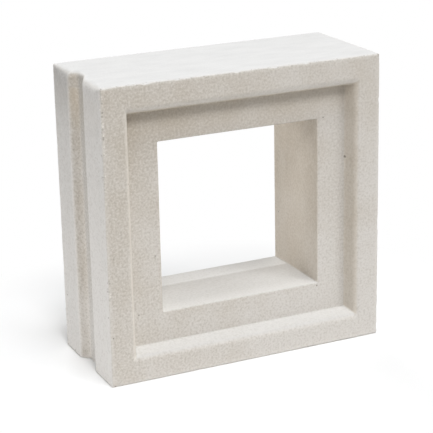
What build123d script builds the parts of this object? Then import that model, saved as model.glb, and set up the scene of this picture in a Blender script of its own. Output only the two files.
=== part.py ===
from build123d import *
from math import atan2, degrees
import os

os.makedirs("parts", exist_ok=True)

# Square concrete breeze block, cast as one piece and standing on its edge.
# Sizes are in millimetres. The front face looks toward -Y, the side groove toward -X,
# and the block stands on the plane Z = 0.

# Outer block
block_width = 190.0
block_height = 190.0
block_depth = 80.0
arris_radius = 1.2

# Stepped recess cast into the front and the back face, measured at its floor
recess_width = 150.0
recess_height = 150.0
recess_depth = 10.0
recess_corner_radius = 0.8
step_draft_run = 3.2
step_shoulder_radius = 4.5

# Square air opening: each mould core has draft, and the two cores meet at the waist
opening_width = 110.0
opening_height = 110.0
opening_corner_radius = 1.5
waist_inset = 1.0
waist_from_back_floor = 20.0

# Mortar groove that runs up the left side, a little behind the middle of its depth
groove_mouth = 26.0
groove_floor = 16.0
groove_depth = 5.2
groove_offset = 2.0
groove_lip_radius = 1.2
groove_corner_radius = 3.0

# Planes across the block, named from front to back
front_face_y = -block_depth / 2
front_floor_y = front_face_y + recess_depth
back_face_y = block_depth / 2
back_floor_y = back_face_y - recess_depth
waist_y = back_floor_y - waist_from_back_floor
wall_middle_y = back_face_y - recess_depth / 2

# Groove in plan: its lips lie on the left face and its floor inside the block
left_face_x = -block_width / 2
groove_floor_x = left_face_x + groove_depth
groove_outline = (
    (left_face_x, groove_offset - groove_mouth / 2),
    (groove_floor_x, groove_offset - groove_floor / 2),
    (groove_floor_x, groove_offset + groove_floor / 2),
    (left_face_x, groove_offset + groove_mouth / 2),
)


def upright_plane(y):
    """Vertical plane across the block at depth y, centred on the opening."""
    return Plane(origin=(0, y, block_height / 2), x_dir=(1, 0, 0), z_dir=(0, -1, 0))


with BuildPart() as breeze_block:
    # Plan outline with the groove in the left side, drawn up to the full height
    with BuildSketch(Plane.XY) as plan:
        Rectangle(block_width, block_depth)
        fillet(plan.vertices(), radius=arris_radius)
        Polygon(*groove_outline, align=None, mode=Mode.SUBTRACT)
        corners = plan.vertices().filter_by(lambda v: abs(v.X - groove_floor_x) < 1e-4)
        fillet(corners, radius=groove_corner_radius)
        half_mouth = groove_mouth / 2
        lips = plan.vertices().filter_by(lambda v: abs(abs(v.Y - groove_offset) - half_mouth) < 1e-4)
        fillet(lips, radius=groove_lip_radius)
    extrude(amount=block_height)

    # Recesses: drafted walls that widen from the floor out to the face, front then back
    step_draft = degrees(atan2(step_draft_run, recess_depth))
    for floor_y, outward in ((front_floor_y, recess_depth), (back_floor_y, -recess_depth)):
        with BuildSketch(upright_plane(floor_y)):
            Rectangle(recess_width, recess_height)
        extrude(amount=outward, taper=-step_draft, mode=Mode.SUBTRACT)

    # Sloping corner lines where two drafted walls meet, kept nearly sharp
    all_edges = breeze_block.edges()
    corner_lines = all_edges.filter_by(lambda e: abs(abs(e.center().Y) - wall_middle_y) < 1e-4)
    fillet(corner_lines, radius=recess_corner_radius)

    # Opening: two drafted cores that widen from the waist out to the recess floors
    for outward in (waist_y - front_floor_y, waist_y - back_floor_y):
        with BuildSketch(upright_plane(waist_y)):
            RectangleRounded(
                opening_width - 2 * waist_inset,
                opening_height - 2 * waist_inset,
                opening_corner_radius,
            )
        core_draft = degrees(atan2(waist_inset, abs(outward)))
        extrude(amount=outward, taper=-core_draft, mode=Mode.SUBTRACT)

    # Rounded shoulder where each border turns down into its recess
    border_faces = breeze_block.faces().filter_by(Axis.Y).sort_by(Axis.Y)
    shoulders = [face.inner_wires()[0].edges() for face in (border_faces[0], border_faces[-1])]
    fillet(shoulders[0] + shoulders[1], radius=step_shoulder_radius)

    # Softened arrises around the top and bottom faces
    level_faces = breeze_block.faces().filter_by(Axis.Z).sort_by(Axis.Z)
    rims = level_faces[0].outer_wire().edges() + level_faces[-1].outer_wire().edges()
    fillet(rims, radius=arris_radius)

breeze_block.part.label = "breeze_block"
breeze_block.part.color = Color(0.80, 0.78, 0.74)
export_step(breeze_block.part, "parts/breeze_block.step")
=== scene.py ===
import math

import bpy
import numpy as np
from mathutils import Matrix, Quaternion, Vector


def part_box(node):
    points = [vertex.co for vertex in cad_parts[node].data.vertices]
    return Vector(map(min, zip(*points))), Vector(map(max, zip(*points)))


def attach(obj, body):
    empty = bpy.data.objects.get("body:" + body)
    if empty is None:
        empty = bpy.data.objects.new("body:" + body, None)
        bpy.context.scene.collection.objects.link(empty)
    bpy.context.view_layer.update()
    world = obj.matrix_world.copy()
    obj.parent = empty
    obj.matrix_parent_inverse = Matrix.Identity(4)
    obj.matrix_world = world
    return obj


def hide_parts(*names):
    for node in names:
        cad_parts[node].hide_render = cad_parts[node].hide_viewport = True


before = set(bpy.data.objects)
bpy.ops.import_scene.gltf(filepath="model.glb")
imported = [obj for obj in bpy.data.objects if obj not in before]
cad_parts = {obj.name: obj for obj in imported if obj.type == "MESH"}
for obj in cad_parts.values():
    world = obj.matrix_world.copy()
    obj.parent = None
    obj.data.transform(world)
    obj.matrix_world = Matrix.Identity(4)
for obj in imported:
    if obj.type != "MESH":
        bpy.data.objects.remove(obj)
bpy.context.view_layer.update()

MM = 0.001
NODE = "breeze_block"
PIECE = "breeze_block_cast"

# Block, in millimetres: overall box from the frame, section sizes by name
low, high = (np.array(corner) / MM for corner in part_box(NODE))
HALF_WIDTH = (high[0] - low[0]) / 2
HEIGHT = high[2] - low[2]
HALF_DEPTH = (high[1] - low[1]) / 2
MID_HEIGHT = HEIGHT / 2
RECESS_INSET = 20.0
RECESS_DEPTH = 10.0
RECESS_CORNER = 0.8
STEP_RUN = 3.2
STEP_EDGE_CORNER = 1.2
SHOULDER_RADIUS = 4.5
OPENING_INSET = 40.0
OPENING_CORNER = 0.8
OPENING_ARRIS = 0.8
WAIST_INSET = 1.0
WAIST_FROM_BACK = 20.0
GROOVE_MOUTH = 26.0
GROOVE_FRONT_WALL = 10.0
GROOVE_REAR_WALL = 5.0
GROOVE_DEPTH = 5.2
GROOVE_OFFSET = 2.0
GROOVE_BLEND = 0.8

# Mesh spacing, in millimetres
WALL = 0.8
FINE = 0.55
MEDIUM = 1.5
COARSE = 2.3
TOP_EDGE = 1.2
# Widths of the bands with closer spacing beside edges, corners, the waist and the groove
EDGE_ZONE = 4.0
BORDER_ZONE = 5.0
CORNER_ZONE = 14.0
FLOOR_ZONE = 2.0
WAIST_ZONE = 6.0
GROOVE_MARGIN = 2.0
# Width of the top and base that is drawn inward with the groove
GROOVE_PULL = 30.0
# Steps round the shoulder, down the step and round the arris of the opening
SHOULDER_STEPS = 8
STEP_WALL_STEPS = 5
OPENING_ARRIS_STEPS = 3
# Lengths below these count as nothing
TINY = 1e-9
FLUSH = 1e-6

# Lattice noise: shift that keeps the lattice positive, and the constants of its hash
LATTICE_SHIFT = 1000.0
HASH_AXES = (73856093, 19349663, 83492791)
HASH_SEED = 668265263
HASH_FACTORS = (2246822519, 3266489917)
HASH_SHIFTS = (15, 16)
HASH_BITS = 0xFFFFFFFF
VALUE_BITS = 0xFFFF

# Worn edges, in millimetres: a plain arris, and how much it grows where it is chipped
ARRIS = 1.0
ARRIS_BAND = 3.0
CHIP_WEAR = 1.6
CHIP_START = 0.15
TOP_CHIP_WEAR = 3.2
TOP_CHIP_START = 0.2
# Top edge of the grooved side: rounding at distances behind the front face
LIP_STATIONS = (0.0, 12.0, 22.0, 30.0, 36.0, 50.0, 57.0, 80.0)
LIP_ROUNDING = (1.6, 5.0, 5.0, 3.4, 2.3, 3.0, 6.0, 1.8)
SURFACE_WAVE = 0.16
# Noise layers as cell in millimetres, seed and weight
CHIP_NOISE = ((5.0, 3, 0.6), (2.1, 4, 0.5))
TOP_CHIP_NOISE = ((2.8, 11, 0.7), (7.0, 12, 0.5))
LIP_NOISE = ((6.0, 5, 0.12),)
SURFACE_NOISE = ((22.0, 7, 0.6), (8.0, 8, 0.4))

# Painted highlights on the left and top step shoulders, where they turn toward the light: inset of the
# pale line, its half width and its strength
HIGHLIGHT_LEFT = (16.6, 1.4, 0.55)
HIGHLIGHT_TOP = (16.2, 1.6, 0.42)
# Pale line along the rear lip of the groove: half width and strength
LIP_PALE_LINE = (1.0, 0.28)
# Pits on the front arris of the grooved side: height ranges, distance from the arris, strength on top
PITTED_HEIGHTS = ((57.0, 72.0), (127.0, 137.0), (148.0, 190.0))
PITTED_REACH = 2.2
PITTED_TOP = 0.5
# Greyer colour on ledges, by how far the surface faces up
LEDGE_GREY_SHARE = 0.75
LEDGE_FACING = (0.3, 0.4)
# Cement skin on the top and the sides: where a face counts as level or upright, and how much skin
SKIN_FACING = (0.5, 0.4)
TOP_ZONE = 12.0
SIDE_ZONE = 4.0
SIDE_SKIN = 0.8
# The skin is thinner in the groove and gone from its rear wall
HOLLOW_DEPTH = (0.4, 0.5)
HOLLOW_LOSS = 0.45
REAR_WALL = (5.0, 4.0)
# Painted light on the rear strip of the sill behind the waist, where light from the back falls
SILL_LIT_FROM = (9.0, 2.0)
SILL_ZONE = 2.0
# Painted warm shade on the upright inner walls, by how far they face aside
WARM_SHADE_FACING = (0.3, 0.3)
# Least part of a unit normal for a level face and for an upright reveal
LEVEL = 0.9
UPRIGHT = 0.7

# Painted light and shade on the grooved side, brighter toward the foot and darker toward the top, as a
# share of the plain tone: heights, then each strip
SHADE_HEIGHTS = (0.0, 150.0, 190.0)
FRONT_LIP_SHADE = (1.01, 0.99, 0.93)
GROOVE_SHADE = (1.16, 1.03, 0.88)
REAR_LIP_SHADE = (0.97, 0.89, 0.65)
# Painted light and shade across the groove, by distance from its middle toward the back
GROOVE_STATIONS = (5.5, 9.0, 10.0, 13.0)
GROOVE_TONE = (0.78, 1.16, 1.14, 0.86)
# Painted shade along the foot of the right step, where the step shades the recess floor: share of the tone
# lost, and its reach over the floor
FOOT_PAINTED_SHADE = 0.08
FOOT_REACH = 7.0
# Painted shade along the sill inside the opening: tone lost, by depth
SILL_STATIONS = (-28.0, -17.0, -2.0, 22.0, 29.0)
SILL_LOSS = (0.0, 0.07, 0.0, 0.0, 0.06)
# Painted shade on the right reveal inside the opening, deepest low in its corner with the sill: share of
# the tone lost, its height, and its middle and reach in depth
REVEAL_LOSS = 0.06
CORNER_SHADE_LOSS = 0.20
CORNER_SHADE_HEIGHT = 9.0
CORNER_SHADE_DEPTH = (-14.0, 12.0)


def lattice_noise(points, cell, seed):
    """Smooth noise from -1 to 1 at points (n, 3), one random value per lattice corner."""
    place = points / cell + LATTICE_SHIFT
    base = np.floor(place).astype(np.int64)
    share = place - base
    share = share * share * (3.0 - 2.0 * share)
    total = np.zeros(len(points))
    for corner in np.ndindex(2, 2, 2):
        a, b, c = ((base + corner) * HASH_AXES).T
        mixed = ((a ^ b ^ c ^ (seed * HASH_SEED)) * HASH_FACTORS[0]) & HASH_BITS
        mixed = ((mixed ^ (mixed >> HASH_SHIFTS[0])) * HASH_FACTORS[1]) & HASH_BITS
        mixed = mixed ^ (mixed >> HASH_SHIFTS[1])
        value = 2.0 * (mixed & VALUE_BITS) / VALUE_BITS - 1.0
        total += value * np.where(corner, share, 1.0 - share).prod(axis=1)
    return total


def layered_noise(points, layers):
    """Sum of noise layers, each given as its cell, seed and weight."""
    return sum(weight * lattice_noise(points, cell, seed) for cell, seed, weight in layers)


def rise(values, start, reach):
    """Goes from 0 to 1 as the values go from start over the reach."""
    return np.clip((values - start) / reach, 0.0, 1.0)


def steps(start, end, spacing):
    """Evenly spaced values from start up to, and without, end."""
    count = max(1, int(round(abs(end - start) / spacing)))
    return list(np.linspace(start, end, count, endpoint=False))


def run(stops):
    """Values along a line through stops, given as (value, spacing to the next)."""
    values = []
    for (start, spacing), (end, _) in zip(stops, stops[1:]):
        values += steps(start, end, spacing)
    return values


def half_section():
    """Front half of the section as (inset, depth behind the front face), from arris to opening."""
    draft = math.atan2(STEP_RUN, RECESS_DEPTH)
    turn = math.pi / 2 - draft
    tangent = SHOULDER_RADIUS * math.tan(turn / 2)
    edge = RECESS_INSET - STEP_RUN
    border = run([(0.0, FINE), (BORDER_ZONE, MEDIUM), (edge - tangent, None)])
    points = [(inset, 0.0) for inset in border]
    for angle in np.linspace(0.0, turn, SHOULDER_STEPS, endpoint=False):
        points.append((
            edge - tangent + SHOULDER_RADIUS * math.sin(angle),
            SHOULDER_RADIUS * (1.0 - math.cos(angle)),
        ))
    foot = np.array((RECESS_INSET, RECESS_DEPTH))
    top = np.array((edge, 0.0)) + tangent * np.array((math.sin(draft), math.cos(draft)))
    for share in np.linspace(0.0, 1.0, STEP_WALL_STEPS, endpoint=False):
        points.append(tuple(top + (foot - top) * share))
    floor = run([(RECESS_INSET, FINE), (RECESS_INSET + FLOOR_ZONE, MEDIUM),
                 (OPENING_INSET - FLOOR_ZONE, FINE), (OPENING_INSET - OPENING_ARRIS, None)])
    points += [(inset, RECESS_DEPTH) for inset in floor]
    for angle in np.linspace(0.0, math.pi / 2, OPENING_ARRIS_STEPS + 1):
        points.append((
            OPENING_INSET - OPENING_ARRIS * (1.0 - math.sin(angle)),
            RECESS_DEPTH + OPENING_ARRIS * (1.0 - math.cos(angle)),
        ))
    return points


def section_loop():
    """Closed section as (inset, y): in over the front, through the opening, out over the back."""
    front = half_section()
    reveal_front = -HALF_DEPTH + RECESS_DEPTH + OPENING_ARRIS
    waist = HALF_DEPTH - RECESS_DEPTH - WAIST_FROM_BACK
    reveal = []
    for y in run([(reveal_front, COARSE), (waist - WAIST_ZONE, MEDIUM), (-reveal_front, None)])[1:]:
        length = waist - reveal_front if y < waist else -reveal_front - waist
        reveal.append((OPENING_INSET + WAIST_INSET * (1.0 - abs(y - waist) / length), y))
    front_lip, rear_lip = GROOVE_OFFSET - GROOVE_MOUTH / 2, GROOVE_OFFSET + GROOVE_MOUTH / 2
    outer = run([
        (HALF_DEPTH, FINE),
        (HALF_DEPTH - EDGE_ZONE, MEDIUM),
        (rear_lip + GROOVE_MARGIN, WALL),
        (rear_lip - GROOVE_REAR_WALL - GROOVE_MARGIN, MEDIUM),
        (front_lip + GROOVE_FRONT_WALL + GROOVE_MARGIN, WALL),
        (front_lip - GROOVE_MARGIN, MEDIUM),
        (-HALF_DEPTH + EDGE_ZONE, FINE),
        (-HALF_DEPTH, None),
    ])[1:]
    loop = [(inset, depth - HALF_DEPTH) for inset, depth in front] + reveal
    loop += [(inset, HALF_DEPTH - depth) for inset, depth in reversed(front)]
    return np.array(loop + [(0.0, y) for y in outer])


def corner_radius(inset):
    """Rounding of the square outline at an inset, from the border in to the opening."""
    edge = RECESS_INSET - STEP_RUN
    insets = (0.0, edge - SHOULDER_RADIUS, edge, RECESS_INSET, OPENING_INSET)
    radii = (0.0, RECESS_CORNER + STEP_RUN, STEP_EDGE_CORNER, RECESS_CORNER, OPENING_CORNER)
    return np.interp(inset, insets, radii)


def groove(y):
    """Depth of the side groove at y: a flat floor, sloping walls, rounded lips and corners."""
    from_front = GROOVE_MOUTH / 2 + (y - GROOVE_OFFSET)
    from_rear = GROOVE_MOUTH / 2 - (y - GROOVE_OFFSET)
    depth = GROOVE_DEPTH * np.minimum(from_front / GROOVE_FRONT_WALL, from_rear / GROOVE_REAR_WALL)
    depth = (depth + np.hypot(depth, GROOVE_BLEND)) / 2
    short = GROOVE_DEPTH - depth
    depth = GROOVE_DEPTH - (short + np.hypot(short, GROOVE_BLEND)) / 2
    return np.maximum(depth, 0.0) * (np.abs(y - GROOVE_OFFSET) < GROOVE_MOUTH / 2 + GROOVE_MARGIN)


def square_outline():
    """Positions on a square of half size 1: (along, side) pairs, dense toward each corner."""
    border, corner = BORDER_ZONE / HALF_WIDTH, CORNER_ZONE / HALF_WIDTH
    fine, medium = FINE / HALF_WIDTH, MEDIUM / HALF_WIDTH

    def positions(spacing):
        return np.array(run([
            (-1.0, fine), (-1.0 + border, medium), (-1.0 + corner, spacing / HALF_WIDTH),
            (1.0 - corner, medium), (1.0 - border, fine), (1.0, None)]))

    top, along = positions(TOP_EDGE), positions(COARSE)
    one = np.ones(len(along))
    sides = ((top, np.ones(len(top))), (one, -along), (-along, -one), (-one, along))
    return np.concatenate([np.stack(side, axis=1) for side in sides])


def soften(distance_a, distance_b, radius):
    """Moves points near the edge of two faces onto a rounding of that radius."""
    a = np.maximum(radius - distance_a, 0.0)
    b = np.maximum(radius - distance_b, 0.0)
    reach = np.maximum(np.hypot(a, b), TINY)
    scale = np.where((a > 0) & (b > 0) & (reach > radius), radius / reach, 1.0)
    return a * (1.0 - scale), b * (1.0 - scale)


def block_points():
    """Vertices of the block on a grid of section points by outline points, in millimetres."""
    loop = section_loop()
    ring = square_outline()
    inset, y = loop[:, :1], loop[:, 1:]
    half = HALF_WIDTH - inset
    radius = corner_radius(inset)
    along = ring[None, :, 0] * half
    up = ring[None, :, 1] * half
    over_a, over_b = (np.maximum(np.abs(c) - (half - radius), 0.0) for c in (along, up))
    reach = np.maximum(np.hypot(over_a, over_b), TINY)
    fit = np.where((over_a > 0) & (over_b > 0), np.minimum(radius / reach, 1.0), 1.0)
    x = np.where(over_a > 0, np.sign(along) * (half - radius + over_a * fit), along)
    z = np.where(over_b > 0, np.sign(up) * (half - radius + over_b * fit), up) + MID_HEIGHT
    y = np.broadcast_to(y, x.shape)
    pull = groove(y) * np.clip((GROOVE_PULL - (x + HALF_WIDTH)) / GROOVE_PULL, 0.0, 1.0)
    return x + np.where(inset < FLUSH, pull, 0.0), y, z


def wear_edges(x, y, z):
    """Rounds and chips the outer arrises; returns the worn points and how close each is to one."""
    flat = np.stack([x, y, z], axis=-1).reshape(-1, 3)
    chips, top_chips, waver = (layered_noise(flat, layers).reshape(x.shape) for layers in (
        CHIP_NOISE, TOP_CHIP_NOISE, LIP_NOISE))
    plain = ARRIS + CHIP_WEAR * np.maximum(chips - CHIP_START, 0.0)
    ragged = ARRIS + TOP_CHIP_WEAR * np.maximum(top_chips - TOP_CHIP_START, 0.0)
    lip = np.interp(y + HALF_DEPTH, LIP_STATIONS, LIP_ROUNDING) * (1.0 + waver)
    # Outer faces: axis, place on it and direction into the block
    faces = {
        "left": (0, -HALF_WIDTH + groove(y), 1.0), "right": (0, HALF_WIDTH, -1.0),
        "front": (1, -HALF_DEPTH, 1.0), "back": (1, HALF_DEPTH, -1.0),
        "base": (2, 0.0, 1.0), "top": (2, HEIGHT, -1.0),
    }
    edges = (
        ("left", "top", lip), ("left", "base", plain), ("right", "top", plain),
        ("right", "base", plain), ("top", "front", ragged), ("top", "back", plain),
        ("base", "front", plain), ("base", "back", plain), ("left", "front", plain),
        ("left", "back", plain), ("right", "front", plain), ("right", "back", plain),
    )
    place = [x, y, z]
    near = np.zeros(x.shape)
    for one, other, radius in edges:
        pair = faces[one], faces[other]
        gaps = [inward * (place[axis] - wall) for axis, wall, inward in pair]
        near = np.maximum(near, np.clip(1.0 - np.maximum(*gaps) / ARRIS_BAND, 0.0, 1.0))
        for (axis, _, inward), move in zip(pair, soften(*gaps, radius)):
            place[axis] = place[axis] + inward * move
    return *place, near


def highlight_and_lip_lines(x, y, z):
    """Strength of the painted highlights on the left and top step shoulders and of the pale line on the
    rear lip of the groove.
    """
    across, up = x / HALF_WIDTH, (z - MID_HEIGHT) / MID_HEIGHT
    inset = HALF_WIDTH * (1.0 - np.maximum(np.abs(across), np.abs(up)))
    at_left = (across < 0.0) & (np.abs(across) >= np.abs(up))
    at_top = (up > 0.0) & (np.abs(up) > np.abs(across))
    highlights_and_lip_line = np.zeros(x.shape)
    for where, (middle, width, strength) in ((at_left, HIGHLIGHT_LEFT), (at_top, HIGHLIGHT_TOP)):
        highlights_and_lip_line += strength * where * np.exp(-(((inset - middle) / width) ** 2))
    width, strength = LIP_PALE_LINE
    from_lip = (y - GROOVE_OFFSET - GROOVE_MOUTH / 2) / width
    return highlights_and_lip_line + strength * (x < low[0] + GROOVE_DEPTH) * np.exp(-(from_lip ** 2))


def painted_light_and_shade(points, normals, on_side, hollow, on_sill):
    """Share of the plain tone at each point, with light and shade painted in on the grooved side, the
    recess floor, the right reveal and the sill.
    """
    x, y, z = points.T
    front, groove_tone, rear = (np.interp(z, SHADE_HEIGHTS, tones) for tones in (
        FRONT_LIP_SHADE, GROOVE_SHADE, REAR_LIP_SHADE))
    groove_tone = groove_tone * np.interp(y - GROOVE_OFFSET, GROOVE_STATIONS, GROOVE_TONE)
    lips = np.where(y < GROOVE_OFFSET, front, rear)
    side = np.where(x < 0.0, on_side, 0.0)
    shade = 1.0 + side * (lips + (groove_tone - lips) * hollow - 1.0)
    # Painted shade on the recess floor along the foot of the right step
    foot = HALF_WIDTH - RECESS_INSET
    floor = (x > 0.0) & (x < foot) & (np.abs(z - MID_HEIGHT) < foot) & (normals[:, 1] < -LEVEL)
    shade = shade - floor * FOOT_PAINTED_SHADE * np.exp(-(foot - x) / FOOT_REACH)
    # Painted shade over the right reveal inside the opening, deeper low in its corner with the sill
    middle, reach = CORNER_SHADE_DEPTH
    reveal = (normals[:, 0] < -UPRIGHT) & (x > 0.0) & (x < HALF_WIDTH - OPENING_INSET + WAIST_INSET)
    corner_shade = np.exp(-(z - OPENING_INSET) / CORNER_SHADE_HEIGHT - ((y - middle) / reach) ** 2)
    shade = shade - reveal * (REVEAL_LOSS + CORNER_SHADE_LOSS * corner_shade)
    # Painted shade along the sill
    return shade - on_sill * np.interp(y, SILL_STATIONS, SILL_LOSS)


def surface_marks(points, normals):
    """Strength of each mark of the surface at each point, by the name of its attribute."""
    x, y, z = points.T
    faces_up = rise(normals[:, 2], *SKIN_FACING) * (z > HEIGHT - TOP_ZONE)
    on_side = rise(np.abs(normals[:, 0]), *SKIN_FACING)
    on_side = on_side * (np.abs(x) > HALF_WIDTH - GROOVE_DEPTH - SIDE_ZONE)
    hollow = rise(groove(y), *HOLLOW_DEPTH) * (x < 0.0)
    on_sill = (normals[:, 2] > LEVEL) & (np.abs(z - OPENING_INSET) < SILL_ZONE)
    bare = HOLLOW_LOSS + (1.0 - HOLLOW_LOSS) * rise(y - GROOVE_OFFSET, *REAR_WALL)
    at_heights = np.any([(z > start) & (z < end) for start, end in PITTED_HEIGHTS], axis=0)
    from_arris = np.maximum(x - low[0], y - low[1])
    from_top = np.maximum(high[2] - z, y - low[1])
    # Painted warm shade: the upright inner walls and the floor under the top step, where shade falls
    inner_wall = rise(np.abs(normals[:, 0]), *WARM_SHADE_FACING) * (np.abs(x) < HALF_WIDTH - RECESS_DEPTH)
    under_step = rise(z, HEIGHT - OPENING_INSET, RECESS_INSET) * (z < HEIGHT - RECESS_INSET / 2)
    under_step = under_step * (np.abs(y) < HALF_DEPTH - RECESS_DEPTH / 2)
    return {
        "skin": np.maximum(faces_up, SIDE_SKIN * on_side * (1.0 - hollow * bare)),
        # Painted light on the rear strip of the sill
        "sill": rise(y, *SILL_LIT_FROM) * on_sill,
        "pitted": np.maximum(at_heights * (from_arris < PITTED_REACH),
                             PITTED_TOP * (from_top < PITTED_REACH)),
        "ledge_grey": LEDGE_GREY_SHARE * rise(normals[:, 2], *LEDGE_FACING),
        "warm_shade": np.maximum(inner_wall, under_step),
        "shade": painted_light_and_shade(points, normals, on_side, hollow, on_sill),
    }


def grid_quads(rows, columns):
    """Quads of a grid of points that closes on itself both ways."""
    index = np.arange(rows * columns).reshape(rows, columns)
    next_row = np.roll(index, -1, axis=0)
    next_column = np.roll(index, -1, axis=1)
    both = np.roll(next_row, -1, axis=1)
    return np.stack([index, next_row, both, next_column], axis=-1).reshape(-1, 4)


def block_mesh():
    """Mesh of the whole block with its worn edges and the slight waviness of a cast face."""
    x, y, z = block_points()
    highlights_and_lip_line = highlight_and_lip_lines(x, y, z)
    x, y, z, near = wear_edges(x, y, z)
    points = np.stack([x, y, z], axis=-1).reshape(-1, 3)
    quads = grid_quads(*x.shape)
    mesh = bpy.data.meshes.new(PIECE)
    mesh.from_pydata((points * MM).tolist(), [], quads.tolist())
    mesh.update()
    normals = np.zeros(points.size)
    mesh.vertices.foreach_get("normal", normals)
    normals = normals.reshape(-1, 3)
    wave = (layered_noise(points, SURFACE_NOISE) + 1.0) / 2
    points = points - normals * (SURFACE_WAVE * wave[:, None])
    points = np.clip(points, low, high)
    mesh.vertices.foreach_set("co", (points * MM).ravel())
    marks = {"arris": near.ravel(), "highlights_and_lip_line": highlights_and_lip_line.ravel(), **surface_marks(points, normals)}
    for name, values in marks.items():
        mesh.attributes.new(name, "FLOAT", "POINT").data.foreach_set("value", values)
    mesh.polygons.foreach_set("use_smooth", np.ones(len(quads), dtype=bool))
    mesh.update()
    return mesh


class Nodes:
    """Small helper that adds shader nodes and links them."""

    # Sockets of a colour mix: factor, the two colours and the result
    MIX_INPUTS = (0, 6, 7)
    MIX_RESULT = 2

    def __init__(self, tree):
        self.tree = tree
        tree.nodes.clear()

    def feed(self, socket, value):
        if isinstance(value, bpy.types.NodeSocket):
            self.tree.links.new(value, socket)
        else:
            socket.default_value = value

    def add(self, kind, inputs=None, **settings):
        node = self.tree.nodes.new(kind)
        for name, value in settings.items():
            setattr(node, name, value)
        for name, value in (inputs or {}).items():
            self.feed(node.inputs[name], value)
        return node

    def math(self, operation, a, b):
        return self.add("ShaderNodeMath", {0: a, 1: b}, operation=operation).outputs[0]

    def noise(self, where, scale, detail, roughness):
        inputs = {"Vector": where, "Scale": scale, "Detail": detail, "Roughness": roughness}
        return self.add("ShaderNodeTexNoise", inputs).outputs["Fac"]

    def ramp(self, value, low_value, high_value, low_out=0.0, high_out=1.0):
        inputs = {"Value": value, "From Min": low_value, "From Max": high_value,
                  "To Min": low_out, "To Max": high_out}
        return self.add("ShaderNodeMapRange", inputs, clamp=True).outputs["Result"]

    def mix(self, factor, a, b, blend="MIX"):
        node = self.add("ShaderNodeMix", data_type="RGBA", blend_type=blend)
        for socket, value in zip(self.MIX_INPUTS, (factor, a, b)):
            self.feed(node.inputs[socket], value)
        return node.outputs[self.MIX_RESULT]

    def spots(self, where, scale, size):
        """Round spots, one in each cell, and a random number for each cell."""
        cells = self.add("ShaderNodeTexVoronoi", {"Vector": where, "Scale": scale}).outputs
        kind = self.add("ShaderNodeSeparateColor", {"Color": cells["Color"]}).outputs["Red"]
        return self.ramp(cells["Distance"], *size), kind


CONCRETE = (0.520, 0.472, 0.408, 1.0)
CONCRETE_PALE = (0.634, 0.604, 0.566, 1.0)
SKIN = (0.674, 0.667, 0.658, 1.0)
SKIN_GREY = (0.630, 0.624, 0.616, 1.0)
SKIN_FLOOR_LIT = (0.745, 0.730, 0.712, 1.0)
LEDGE_GREY = (0.583, 0.575, 0.560, 1.0)
WARM_SHADE = (1.02, 0.985, 0.93, 1.0)
# Pale colour of the painted highlights on the step shoulders, of the pale lip line and of the pale pits
HIGHLIGHT_AND_CHIP_PALE = (0.820, 0.785, 0.735, 1.0)
SILL_PAINTED_LIGHT = (0.750, 0.745, 0.730, 1.0)
SAND_DARK = (0.330, 0.288, 0.236, 1.0)
SAND_LIGHT = (0.760, 0.735, 0.700, 1.0)
PORE = (0.200, 0.172, 0.140, 1.0)
# Slow change of tone over the block, per metre: painted light, from the warmer, shaded upper left to the
# paler lower right, where light from the floor and the right falls
TONE_BASE = 0.93
PAINTED_LIGHT_ACROSS = 2.6
PAINTED_LIGHT_UP = -3.1
TONE_CLOUD = 0.30
# Noise as scale, detail and roughness, and the part of its range that is used
CLOUD_NOISE = (30.0, 4.0, 0.6)
CLOUD_RANGE = (0.30, 0.70)
STREAK_SCALE = (45.0, 110.0, 110.0)
STREAK_NOISE = (1.0, 3.0, 0.6)
STREAK_RANGE = (0.35, 0.70)
GRAIN_NOISE = (700.0, 1.0, 0.6)
GRAIN_DARK = (0.51, 0.70)
GRAIN_LIGHT = (0.49, 0.31)
GRAIN_MIX = 0.35
# Share of the sand grain that shows on skin, painted warm shade, greyer ledges and the right end
SKIN_FROM = 0.3
SKIN_GRAIN = 0.4
WARM_SHADE_GRAIN = 0.75
LEDGE_GRAIN = 0.45
RIGHT_GRAIN = 0.72
ARRIS_PALE = 0.35
# Pores and arris pits: cells per metre, spot size in cells, and the random numbers that are used
PORE_CELLS = 420.0
PORE_SIZE = (0.30, 0.18)
PORE_PICK = (0.997, 0.999)
PORE_AT_ARRIS = 0.06
PORE_MIX = 0.8
PIT_CELLS = 620.0
PIT_SIZE = (0.50, 0.34)
PALE_PITS = (0.45, 0.10, 0.0, 0.55)
DARK_PITS = (0.40, 0.95, 0.0, 0.65)
# Single pits on the recess floor: place and radius, in metres, and strength
SINGLE_PITS = (
    ((0.0752, -0.0305, 0.1228), 0.0011, 1.0),
    ((-0.0590, -0.0300, 0.0775), 0.0009, 0.55),
)
GRAIN_HEIGHT = 0.5
BUMP_STRENGTH = 0.35
BUMP_DISTANCE = 0.0005
CONCRETE_ROUGHNESS = 0.92
CONCRETE_SPECULAR = 0.25
MARKS = ("arris", "highlights_and_lip_line", "skin", "sill", "pitted", "ledge_grey", "warm_shade")


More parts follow.
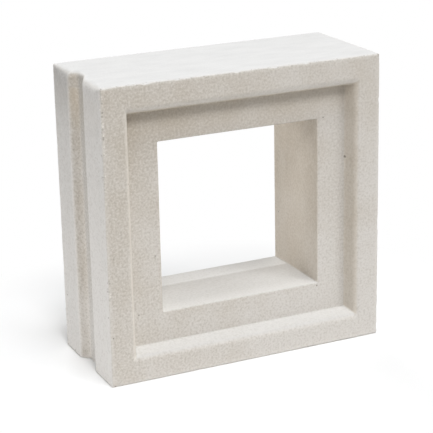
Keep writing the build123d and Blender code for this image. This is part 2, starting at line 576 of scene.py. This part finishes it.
def paste_colour(n, where, place, mark):
    """Mottled concrete with painted light toward the base and the right, painted warm shade on the inner
    walls, greyer ledges, a streaked cement skin painted paler low down, painted light on the rear of the
    sill, and the painted light and shade of the shade mark.
    """
    # Painted light: paler toward the right and toward the base, where light from the floor falls
    tone = n.math("ADD", n.math("MULTIPLY", place["X"], PAINTED_LIGHT_ACROSS), TONE_BASE)
    tone = n.math("ADD", tone, n.math("MULTIPLY", place["Z"], PAINTED_LIGHT_UP))
    cloud = n.noise(where, *CLOUD_NOISE)
    tone = n.math("ADD", tone, n.ramp(cloud, *CLOUD_RANGE, -TONE_CLOUD, TONE_CLOUD))
    colour = n.mix(n.ramp(tone, 0.0, 1.0), CONCRETE, CONCRETE_PALE)
    # Painted warm shade on the inner walls and under the top step
    colour = n.mix(mark["warm_shade"], colour, WARM_SHADE, "MULTIPLY")
    colour = n.mix(mark["ledge_grey"], colour, LEDGE_GREY)
    along = n.add("ShaderNodeMapping", {"Vector": where, "Scale": STREAK_SCALE}).outputs["Vector"]
    streak = n.ramp(n.noise(along, *STREAK_NOISE), *STREAK_RANGE)
    # Painted light: the skin runs paler toward the base, where light from the floor falls
    skin = n.mix(n.ramp(place["Z"], 0.0, HEIGHT * MM), SKIN_FLOOR_LIT, n.mix(streak, SKIN, SKIN_GREY))
    colour = n.mix(mark["skin"], colour, skin)
    # Painted light on the rear strip of the sill
    colour = n.mix(mark["sill"], colour, SILL_PAINTED_LIGHT)
    # Painted light and shade, as a share of the plain tone
    shade = n.add("ShaderNodeAttribute", attribute_name="shade").outputs["Color"]
    return n.mix(1.0, colour, shade, "MULTIPLY")


def grain_share(n, place, mark):
    """Share of the sand grain that shows: less on skin, painted warm shade and greyer ledges, and toward
    the right.
    """
    half = HALF_WIDTH * MM
    share = n.ramp(mark["skin"], SKIN_FROM, 1.0, 1.0, SKIN_GRAIN)
    share = n.math("MULTIPLY", share, n.ramp(mark["warm_shade"], 0.0, 1.0, 1.0, WARM_SHADE_GRAIN))
    share = n.math("MULTIPLY", share, n.ramp(mark["ledge_grey"], 0.0, LEDGE_GREY_SHARE, 1.0, LEDGE_GRAIN))
    return n.math("MULTIPLY", share, n.ramp(place["X"], -half, half, 1.0, RIGHT_GRAIN))


def concrete():
    """Pale sandy concrete: soft mottling, fine sand grain, a few pores, a smoother skin on top."""
    material = bpy.data.materials.new("cast_concrete")
    material.use_nodes = True
    n = Nodes(material.node_tree)
    where = n.add("ShaderNodeTexCoord").outputs["Object"]
    place = n.add("ShaderNodeSeparateXYZ", {0: where}).outputs
    mark = {name: n.add("ShaderNodeAttribute", attribute_name=name).outputs["Fac"] for name in MARKS}
    colour = paste_colour(n, where, place, mark)
    grain = n.noise(where, *GRAIN_NOISE)
    share = grain_share(n, place, mark)
    for span, sand in ((GRAIN_DARK, SAND_DARK), (GRAIN_LIGHT, SAND_LIGHT)):
        amount = n.math("MULTIPLY", share, n.ramp(grain, *span, 0.0, GRAIN_MIX))
        colour = n.mix(amount, colour, sand)
    colour = n.mix(n.math("MULTIPLY", mark["arris"], ARRIS_PALE), colour, SAND_LIGHT)
    # Painted highlights on the step shoulders, and the pale line on the rear lip
    colour = n.mix(mark["highlights_and_lip_line"], colour, HIGHLIGHT_AND_CHIP_PALE)
    pore, kind = n.spots(where, PORE_CELLS, PORE_SIZE)
    kind = n.math("ADD", kind, n.math("MULTIPLY", mark["arris"], PORE_AT_ARRIS))
    pore = n.math("MULTIPLY", pore, n.ramp(kind, *PORE_PICK))
    pore = n.math("MULTIPLY", pore, n.ramp(mark["ledge_grey"], 0.0, LEDGE_GREY_SHARE, 1.0, 0.0))
    pit, kind = n.spots(where, PIT_CELLS, PIT_SIZE)
    pit = n.math("MULTIPLY", pit, mark["pitted"])
    colour = n.mix(n.math("MULTIPLY", pit, n.ramp(kind, *PALE_PITS)), colour, HIGHLIGHT_AND_CHIP_PALE)
    pore = n.math("MAXIMUM", pore, n.math("MULTIPLY", pit, n.ramp(kind, *DARK_PITS)))
    for middle, radius, strength in SINGLE_PITS:
        gap = n.add("ShaderNodeVectorMath", {0: where, 1: middle}, operation="DISTANCE").outputs["Value"]
        pore = n.math("MAXIMUM", pore, n.ramp(gap, radius, radius / 2, 0.0, strength))
    colour = n.mix(n.math("MULTIPLY", pore, PORE_MIX), colour, PORE)
    relief = n.math("MULTIPLY", n.math("MULTIPLY", grain, share), GRAIN_HEIGHT)
    bump = n.add("ShaderNodeBump", {
        "Height": n.math("SUBTRACT", relief, pore), "Strength": BUMP_STRENGTH, "Distance": BUMP_DISTANCE})
    surface = n.add("ShaderNodeBsdfPrincipled", {
        "Base Color": colour, "Roughness": CONCRETE_ROUGHNESS,
        "Specular IOR Level": CONCRETE_SPECULAR, "Normal": bump.outputs["Normal"]})
    n.add("ShaderNodeOutputMaterial", {"Surface": surface.outputs["BSDF"]})
    return material


FLOOR_SIZE = 1.3
FLOOR_COLOUR = (0.90, 0.90, 0.90, 1.0)
WHITE = (1.0, 1.0, 1.0, 1.0)
FLOOR_FADE = (0.08, 0.21)


def floor_material():
    """Pale floor that keeps the shadow near the block and runs out to plain white for the camera."""
    material = bpy.data.materials.new("studio_floor")
    material.use_nodes = True
    n = Nodes(material.node_tree)
    where = n.add("ShaderNodeTexCoord").outputs["Object"]
    away = n.add("ShaderNodeVectorMath", {0: where}, operation="LENGTH").outputs["Value"]
    far = n.ramp(away, *FLOOR_FADE)
    seen = n.add("ShaderNodeLightPath").outputs["Is Camera Ray"]
    lit = n.add("ShaderNodeBsdfDiffuse", {"Color": FLOOR_COLOUR})
    plain = n.add("ShaderNodeEmission", {"Color": WHITE, "Strength": 1.0})
    blend = n.add("ShaderNodeMixShader", {
        0: n.math("MULTIPLY", seen, far), 1: lit.outputs["BSDF"], 2: plain.outputs["Emission"]})
    n.add("ShaderNodeOutputMaterial", {"Surface": blend.outputs["Shader"]})
    return material


WORLD_LIGHT = (1.0, 0.98, 0.95, 1.0)
WORLD_STRENGTH = 0.02


def white_world():
    """Even sky light on the block, plain white to the camera."""
    world = bpy.data.worlds.new("studio")
    bpy.context.scene.world = world
    world.use_nodes = True
    n = Nodes(world.node_tree)
    path = n.add("ShaderNodeLightPath")
    seen = path.outputs["Is Camera Ray"]
    for ray in ("Is Glossy Ray", "Is Transmission Ray"):
        seen = n.math("MAXIMUM", seen, path.outputs[ray])
    light = n.add("ShaderNodeBackground", {"Color": WORLD_LIGHT, "Strength": WORLD_STRENGTH})
    plain = n.add("ShaderNodeBackground", {"Color": WHITE, "Strength": 1.0})
    blend = n.add("ShaderNodeMixShader", {
        0: seen, 1: light.outputs["Background"], 2: plain.outputs["Background"]})
    n.add("ShaderNodeOutputWorld", {"Surface": blend.outputs["Shader"]})


# Soft lamps: place and size in metres, power in watts, colour; all aim at one point in the block
LAMP_AIM = (0.0, 0.0, 0.1)
LAMPS = {
    "key_left": ((-0.42, -1.63, 2.20), 0.8, 32.4, (1.0, 0.99, 0.98)),
    "key_right": ((1.27, -1.63, 1.84), 0.8, 20.5, (1.0, 0.99, 0.98)),
    "overhead": ((0.0, -0.67, 2.60), 0.8, 33.7, (0.94, 0.972, 1.0)),
    "back_left": ((-2.10, 1.25, 0.30), 1.0, 27.5, (1.0, 0.982, 0.96)),
    "back": ((0.2, 2.00, 1.20), 1.0, 20.4, (0.98, 0.99, 1.0)),
}


def facing(place, aim):
    """Turn that points a lamp or camera at a place toward its aim."""
    return (Vector(aim) - Vector(place)).to_track_quat("-Z", "Y")


def add_lamp(name, place, size, power, colour):
    """Square area lamp that looks at the block."""
    light = bpy.data.lights.new(name, "AREA")
    light.shape = "SQUARE"
    light.size = size
    light.energy = power
    light.color = colour
    lamp = bpy.data.objects.new(name, light)
    lamp.location = place
    lamp.rotation_euler = facing(place, LAMP_AIM).to_euler()
    bpy.context.scene.collection.objects.link(lamp)


# Camera: place and aim in metres, roll in degrees, lens and sensor in millimetres
CAMERA_PLACE = (-0.4212, -0.8932, 0.4047)
CAMERA_AIM = (-0.0033, -0.0015, 0.0864)
CAMERA_ROLL = -1.25
CAMERA_LENS = 133.17
SENSOR = 36.0


def add_camera():
    """Camera at the viewing angle of the front and the grooved side."""
    data = bpy.data.cameras.new("photo_view")
    data.sensor_width = SENSOR
    data.lens = CAMERA_LENS
    camera = bpy.data.objects.new("photo_view", data)
    camera.location = CAMERA_PLACE
    camera.rotation_mode = "QUATERNION"
    roll = Quaternion((0.0, 0.0, 1.0), math.radians(CAMERA_ROLL))
    camera.rotation_quaternion = facing(CAMERA_PLACE, CAMERA_AIM) @ roll
    bpy.context.scene.collection.objects.link(camera)
    bpy.context.scene.camera = camera


block = bpy.data.objects.new(PIECE, block_mesh())
bpy.context.scene.collection.objects.link(block)
block.data.materials.append(concrete())
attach(block, "root")
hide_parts(NODE)

bpy.ops.mesh.primitive_plane_add(size=FLOOR_SIZE)
floor = bpy.context.object
floor.name = "studio_floor"
floor.data.materials.append(floor_material())

white_world()
for lamp_name, settings in LAMPS.items():
    add_lamp(lamp_name, *settings)
add_camera()
bpy.context.scene.view_settings.view_transform = "Standard"
